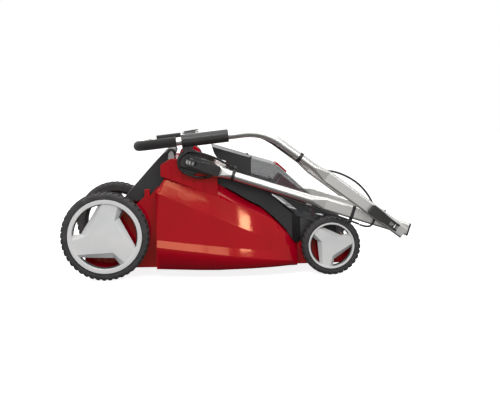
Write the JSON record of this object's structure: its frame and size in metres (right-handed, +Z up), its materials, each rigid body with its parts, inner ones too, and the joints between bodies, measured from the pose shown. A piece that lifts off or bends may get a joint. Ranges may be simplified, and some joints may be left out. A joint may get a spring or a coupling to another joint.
{
  "type": "push lawn mower",
  "caption": "Folded cordless walk-behind rotary mower: cranked axles, hinged two-part handle with cam levers, battery bay lid, rear flap and a spinning blade under a deck.",
  "frame": {"origin": "on the ground, in the middle of the folded mower", "axes": "+X forwards, the direction of mowing, +Y to the left, +Z up"},
  "size_m": [0.9923, 0.5332, 0.4219],
  "materials": {
    "red_abs": "gloss",
    "black_plastic": "satin",
    "grey_plastic": "satin",
    "dark_grey_plastic": "matte",
    "smoked_lid": "gloss",
    "tyre_rubber": "matte",
    "foam": "matte",
    "anodised": "satin",
    "zinc_steel": "satin",
    "painted_steel": "satin",
    "cable_pvc": "satin"
  },
  "bodies": {
    "deck": {"deck_housing": "red_abs", "motor_plate": "zinc_steel", "motor_can": "painted_steel", "controller_box": "black_plastic", "motor_cover": "black_plastic", "battery_hood": "black_plastic", "battery_right": "black_plastic", "battery_left": "black_plastic", "battery_tray": "black_plastic", "cover_screws": "zinc_steel", "lock_discs": "black_plastic", "flap_rod": "zinc_steel", "flap_springs": "zinc_steel", "cable_pivot_loop": "cable_pvc"},
    "blade_set": {"blade_spindle": "zinc_steel", "blade": "zinc_steel", "blade_bolt": "zinc_steel"},
    "rear_axle_set": {"rear_axle": "zinc_steel", "height_lever": "zinc_steel", "height_knob": "black_plastic"},
    "front_axle_set": {"front_axle": "zinc_steel"},
    "lower_handle": {"lower_tube_right": "anodised", "lower_tube_left": "anodised", "lower_end_caps": "black_plastic", "pivot_bolts": "zinc_steel", "cable_lower": "cable_pvc", "cable_clips_lower": "black_plastic"},
    "upper_handle": {"upper_tube": "anodised", "foam_grip_right": "foam", "foam_grip_left": "foam", "switch_housing": "black_plastic", "bail_bearing": "black_plastic", "hinge_bolts": "zinc_steel", "hinge_spacers": "black_plastic", "cable_upper": "cable_pvc", "cable_clip_upper": "black_plastic", "cable_hinge_loop": "cable_pvc"},
    "bail": {"bail": "painted_steel"},
    "start_button": {"start_button": "red_abs"},
    "pivot_lever_right": {"pivot_lever_right": "black_plastic"},
    "pivot_lever_left": {"pivot_lever_left": "black_plastic"},
    "hinge_lever_right": {"hinge_lever_right": "black_plastic"},
    "hinge_lever_left": {"hinge_lever_left": "black_plastic"},
    "lid": {"lid": "smoked_lid", "lid_catch": "red_abs", "front_latch": "black_plastic"},
    "rear_flap": {"rear_flap": "black_plastic"},
    "safety_key": {"safety_key": "red_abs"},
    "rear_right_wheel": {"rear_right_wheel_cover": "grey_plastic", "rear_right_wheel_core": "dark_grey_plastic", "rear_right_tyre": "tyre_rubber"},
    "rear_left_wheel": {"rear_left_wheel_cover": "grey_plastic", "rear_left_wheel_core": "dark_grey_plastic", "rear_left_tyre": "tyre_rubber"},
    "front_right_wheel": {"front_right_wheel_cover": "grey_plastic", "front_right_wheel_core": "dark_grey_plastic", "front_right_tyre": "tyre_rubber"},
    "front_left_wheel": {"front_left_wheel_cover": "grey_plastic", "front_left_wheel_core": "dark_grey_plastic", "front_left_tyre": "tyre_rubber"}
  },
  "joints": [
    {"name": "rear_right_wheel_spin", "type": "hinge", "parent": "rear_axle_set", "child": "rear_right_wheel", "pos_m": [-0.3712, -0.216, 0.125], "axis": [0, 1, 0], "continuous": true},
    {"name": "rear_left_wheel_spin", "type": "hinge", "parent": "rear_axle_set", "child": "rear_left_wheel", "pos_m": [-0.3712, 0.216, 0.125], "axis": [0, 1, 0], "continuous": true},
    {"name": "front_right_wheel_spin", "type": "hinge", "parent": "front_axle_set", "child": "front_right_wheel", "pos_m": [0.2698, -0.175, 0.085], "axis": [0, 1, 0], "continuous": true},
    {"name": "front_left_wheel_spin", "type": "hinge", "parent": "front_axle_set", "child": "front_left_wheel", "pos_m": [0.2698, 0.175, 0.085], "axis": [0, 1, 0], "continuous": true},
    {"name": "blade_spin", "type": "hinge", "parent": "deck", "child": "blade_set", "pos_m": [-0.0412, 0, 0.038], "axis": [0, 0, 1], "continuous": true},
    {"name": "rear_height_crank", "type": "hinge", "parent": "deck", "child": "rear_axle_set", "pos_m": [-0.3312, 0, 0.117], "axis": [0, -1, 0], "range_deg": [0, 55]},
    {"name": "front_height_crank", "type": "hinge", "parent": "deck", "child": "front_axle_set", "pos_m": [0.3098, 0, 0.077], "axis": [0, -1, 0], "range_deg": [0, 55]},
    {"name": "lower_handle_fold", "type": "hinge", "parent": "deck", "child": "lower_handle", "pos_m": [-0.1302, 0, 0.329], "axis": [0, -1, 0], "range_deg": [0, 158], "deforming": ["cable_pivot_loop"]},
    {"name": "upper_handle_fold", "type": "hinge", "parent": "lower_handle", "child": "upper_handle", "pos_m": [0.4408, 0, 0.145], "axis": [0, 1, 0], "range_deg": [0, 163], "deforming": ["cable_hinge_loop"]},
    {"name": "pivot_lever_right_flip", "type": "hinge", "parent": "lower_handle", "child": "pivot_lever_right", "pos_m": [-0.1302, -0.2286, 0.329], "axis": [-0.3067, 0, -0.9518], "range_deg": [0, 110]},
    {"name": "hinge_lever_right_flip", "type": "hinge", "parent": "upper_handle", "child": "hinge_lever_right", "pos_m": [0.4408, -0.2561, 0.145], "axis": [0.596, 0, 0.803], "range_deg": [0, 110]},
    {"name": "pivot_lever_left_flip", "type": "hinge", "parent": "lower_handle", "child": "pivot_lever_left", "pos_m": [-0.1302, 0.2286, 0.329], "axis": [0.3067, 0, 0.9518], "range_deg": [0, 110]},
    {"name": "hinge_lever_left_flip", "type": "hinge", "parent": "upper_handle", "child": "hinge_lever_left", "pos_m": [0.4408, 0.2561, 0.145], "axis": [-0.596, 0, -0.803], "range_deg": [0, 110]},
    {"name": "bail_swing", "type": "hinge", "parent": "upper_handle", "child": "bail", "pos_m": [-0.1372, 0, 0.386], "axis": [0, 1, 0], "range_deg": [0, 16], "stiffness_Nm_per_rad": 0.6},
    {"name": "start_button_press", "type": "slide", "parent": "upper_handle", "child": "start_button", "axis": [0, -1, 0], "range_m": [0, 0.003], "stiffness_N_per_m": 400},
    {"name": "lid_hinge", "type": "hinge", "parent": "deck", "child": "lid", "pos_m": [0.0448, 0, 0.3372], "axis": [0, -1, 0], "range_deg": [0, 65]},
    {"name": "rear_flap_hinge", "type": "hinge", "parent": "deck", "child": "rear_flap", "pos_m": [-0.1842, 0, 0.353], "axis": [0, 1, 0], "range_deg": [0, 38], "stiffness_Nm_per_rad": 0.4},
    {"name": "safety_key_pull", "type": "slide", "parent": "deck", "child": "safety_key", "axis": [0, 0, 1], "range_m": [0, 0.012]}
  ],
  "couplings": [
    {"joint": "upper_handle_fold", "follows": "lower_handle_fold", "ratio": 1.03}
  ]
}
